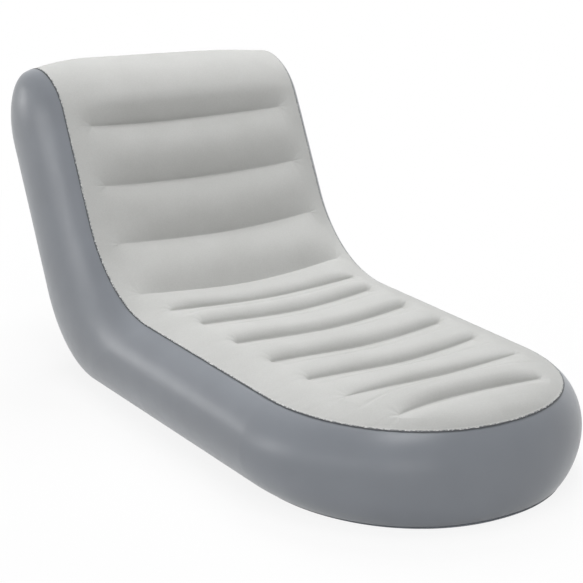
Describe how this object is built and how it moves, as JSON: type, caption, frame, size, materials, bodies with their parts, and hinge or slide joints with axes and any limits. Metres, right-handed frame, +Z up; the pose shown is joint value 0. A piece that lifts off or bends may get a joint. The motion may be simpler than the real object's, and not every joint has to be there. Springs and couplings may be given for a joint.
{
  "type": "inflatable lounger",
  "caption": "Low air lounger with a long flat seat, round foot and leaning channelled backrest, flocked on top, with a screw-in air valve at the rear.",
  "frame": {"origin": "middle of the footprint, on the floor", "axes": "+Z up, +Y from the round foot to the backrest, +X across, to the right seen from the foot"},
  "size_m": [0.7954, 1.659, 0.752],
  "materials": {
    "flocked_vinyl": "short light grey flock on vinyl film, matte",
    "band_vinyl": "blue-grey vinyl film, semi-gloss",
    "base_vinyl": "blue-grey vinyl film, semi-gloss",
    "beam_vinyl": "plain vinyl film",
    "valve_plastic": "moulded vinyl, satin",
    "seal_rubber": "black rubber",
    "flap_silicone": "translucent silicone, modelled opaque"
  },
  "bodies": {
    "lounger": {"top_sheet": "flocked_vinyl", "side_band": "band_vinyl", "base_sheet": "base_vinyl", "seat_beam_1": "beam_vinyl", "seat_beam_2": "beam_vinyl", "seat_beam_3": "beam_vinyl", "seat_beam_4": "beam_vinyl", "seat_beam_5": "beam_vinyl", "seat_beam_6": "beam_vinyl", "seat_beam_7": "beam_vinyl", "back_beam_1": "beam_vinyl", "back_beam_2": "beam_vinyl", "back_beam_3": "beam_vinyl", "back_beam_4": "beam_vinyl", "valve_base": "valve_plastic"},
    "seal": {"seal_ring": "seal_rubber"},
    "valve": {"valve_body": "valve_plastic", "flap_spider": "valve_plastic"},
    "flap": {"check_flap": "flap_silicone"},
    "stopper": {"stopper_cap": "valve_plastic"}
  },
  "joints": [
    {"name": "valve_lift", "type": "slide", "parent": "lounger", "child": "seal", "axis": [0, 0.8942, -0.4478], "range_m": [0, 0.0045]},
    {"name": "valve_turn", "type": "hinge", "parent": "seal", "child": "valve", "pos_m": [0, 0.67793, 0.22431], "axis": [0, 0.8942, -0.4478], "range_deg": [0, 540]},
    {"name": "cap_flip", "type": "hinge", "parent": "valve", "child": "stopper", "pos_m": [0, 0.68074, 0.20333], "axis": [-1, 0, 0], "range_deg": [0, 170]},
    {"name": "flap_open", "type": "slide", "parent": "valve", "child": "flap", "axis": [0, -0.8942, 0.4478], "range_m": [0, 0.002], "stiffness_N_per_m": 5}
  ],
  "couplings": [
    {"joint": "valve_lift", "follows": "valve_turn", "m_per_rad": 0.00047746}
  ]
}
